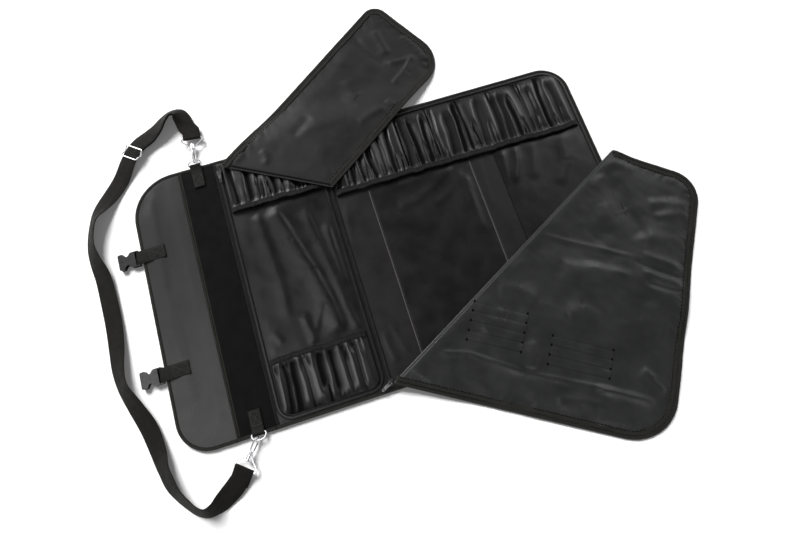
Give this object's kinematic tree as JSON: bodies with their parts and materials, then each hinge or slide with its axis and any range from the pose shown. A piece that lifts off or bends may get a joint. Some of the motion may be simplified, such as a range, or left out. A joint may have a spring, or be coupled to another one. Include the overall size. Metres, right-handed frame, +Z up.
{
  "type": "fold-out knife case",
  "caption": "Soft fold-out knife case lying open, with gathered pockets, zipped covers folded back, side-release buckles and a clip-on shoulder strap.",
  "frame": {"origin": "middle of the spine's underside, on the surface the case lies on", "axes": "+X from the spine to the wide panel, +Y along the spine towards the strap adjuster, +Z up"},
  "size_m": [1.0903, 0.9362, 0.028],
  "materials": {
    "shell": "matt woven outer cloth",
    "flap_lining": "dark grey grained leatherette",
    "spine_lining": "matt black cloth",
    "panel_lining": "smooth coated cloth with a dull sheen",
    "strip": "matt coated cloth",
    "gathered": "shiny gathered nylon",
    "elastic": "woven elastic",
    "cover": "coated cloth with a soft sheen",
    "binding": "ribbed edge tape",
    "webbing": "woven strap with cross ribs",
    "zip_tape": "woven zip tape",
    "zip_teeth": "nylon coil",
    "nickel": "bright nickel plate",
    "dark_steel": "dark plated steel",
    "buckle_resin": "moulded black resin"
  },
  "bodies": {
    "spine": {"spine_shell": "shell", "spine_lining": "spine_lining", "spine_binding_top": "binding", "spine_binding_bottom": "binding", "spine_piping": "binding", "ring_tab_top": "webbing", "ring_tab_bottom": "webbing", "strap": "webbing", "strap_adjuster": "nickel", "hook_eye_top": "nickel", "hook_eye_bottom": "nickel"},
    "flap": {"flap_shell": "shell", "flap_lining": "flap_lining", "flap_binding": "binding", "buckle_tab_upper": "webbing", "buckle_tab_lower": "webbing"},
    "upper_buckle": {"buckle_upper": "buckle_resin"},
    "lower_buckle": {"buckle_lower": "buckle_resin"},
    "panel": {"panel_shell": "shell", "panel_b_lining": "panel_lining", "strip_one": "strip", "panel_c_lining": "panel_lining", "strip_two": "strip", "panel_d_lining": "panel_lining", "panel_binding": "binding", "zip_b_tape": "zip_tape", "zip_b_bead": "zip_teeth", "zip_c_tape": "zip_tape", "zip_c_bead": "zip_teeth", "pocket_b_top": "gathered", "pocket_b_bottom": "gathered", "pocket_c": "gathered", "band_b_top": "elastic", "band_b_bottom": "elastic", "band_c": "elastic", "cover_b_fixed": "cover", "cover_c_fixed": "cover"},
    "cover_b": {"cover_b_flap": "cover", "cover_b_binding": "binding", "cover_b_patch": "cover"},
    "cover_c": {"cover_c_flap": "cover", "cover_c_binding": "binding", "sleeves_long": "cover", "sleeves_short": "cover"},
    "slider_b": {"zip_b_slider": "dark_steel"},
    "puller_b": {"zip_b_puller": "nickel"},
    "slider_c": {"zip_c_slider": "dark_steel"},
    "puller_c": {"zip_c_puller": "nickel"},
    "ring_top": {"case_ring_top": "nickel"},
    "ring_bottom": {"case_ring_bottom": "nickel"},
    "hook_top": {"hook_body_top": "nickel"},
    "hook_bottom": {"hook_body_bottom": "nickel"},
    "gate_top": {"hook_gate_top": "dark_steel"},
    "gate_bottom": {"hook_gate_bottom": "dark_steel"}
  },
  "joints": [
    {"name": "flap_fold", "type": "hinge", "parent": "spine", "child": "flap", "pos_m": [-0.033, 0, 0.0054], "axis": [0, 1, 0], "range_deg": [0, 90]},
    {"name": "panel_fold", "type": "hinge", "parent": "spine", "child": "panel", "pos_m": [0.033, 0, 0.0054], "axis": [0, 1, 0], "range_deg": [-90, 0]},
    {"name": "cover_b_fold", "type": "hinge", "parent": "panel", "child": "cover_b", "pos_m": [0.047, 0.232, 0.0145], "axis": [0.875, -0.4841, 0], "range_deg": [0, 180]},
    {"name": "cover_c_fold", "type": "hinge", "parent": "panel", "child": "cover_c", "pos_m": [0.233, -0.237, 0.0136], "axis": [-0.8791, -0.4766, 0], "range_deg": [0, 180]},
    {"name": "upper_buckle_swing", "type": "hinge", "parent": "flap", "child": "upper_buckle", "pos_m": [-0.131, 0.107, 0.0043], "axis": [0, 1, 0], "range_deg": [0, 75]},
    {"name": "lower_buckle_swing", "type": "hinge", "parent": "flap", "child": "lower_buckle", "pos_m": [-0.131, -0.107, 0.0043], "axis": [0, 1, 0], "range_deg": [0, 75]},
    {"name": "zip_b_slide", "type": "slide", "parent": "panel", "child": "slider_b", "axis": [0, -1, 0], "range_m": [0, 0.4]},
    {"name": "zip_b_puller_lift", "type": "hinge", "parent": "slider_b", "child": "puller_b", "pos_m": [0.0423, 0.223, 0.0102], "axis": [1, 0, 0], "range_deg": [-80, 0]},
    {"name": "zip_c_slide", "type": "slide", "parent": "panel", "child": "slider_c", "axis": [0, 1, 0], "range_m": [0, 0.32]},
    {"name": "zip_c_puller_lift", "type": "hinge", "parent": "slider_c", "child": "puller_c", "pos_m": [0.232, -0.235, 0.0102], "axis": [0.4695, -0.8829, 0], "range_deg": [-80, 0]},
    {"name": "case_ring_top_tilt", "type": "hinge", "parent": "spine", "child": "ring_top", "pos_m": [0.003, 0.2515, 0.00845], "axis": [1, 0, 0], "range_deg": [-5, 5]},
    {"name": "case_ring_bottom_tilt", "type": "hinge", "parent": "spine", "child": "ring_bottom", "pos_m": [0.003, -0.2455, 0.00845], "axis": [1, 0, 0], "range_deg": [-5, 5]},
    {"name": "hook_top_swivel", "type": "hinge", "parent": "spine", "child": "hook_top", "pos_m": [0.00641, 0.29029, 0.00845], "axis": [-0.1219, -0.9925, 0], "range_deg": [-12, 12]},
    {"name": "hook_bottom_swivel", "type": "hinge", "parent": "spine", "child": "hook_bottom", "pos_m": [-0.01965, -0.27744, 0.00845], "axis": [0.6303, 0.7764, 0], "range_deg": [-12, 12]},
    {"name": "gate_top_open", "type": "hinge", "parent": "hook_top", "child": "gate_top", "pos_m": [0.00504, 0.28018, 0.00475], "axis": [-0.9919, 0.1219, 0.0349], "range_deg": [0, 22], "stiffness_Nm_per_rad": 0.02, "springref_deg": -5.73},
    {"name": "gate_bottom_open", "type": "hinge", "parent": "hook_bottom", "child": "gate_bottom", "pos_m": [-0.01187, -0.27061, 0.00518], "axis": [0.6855, -0.5565, 0.4695], "range_deg": [0, 22], "stiffness_Nm_per_rad": 0.02, "springref_deg": -5.73}
  ]
}
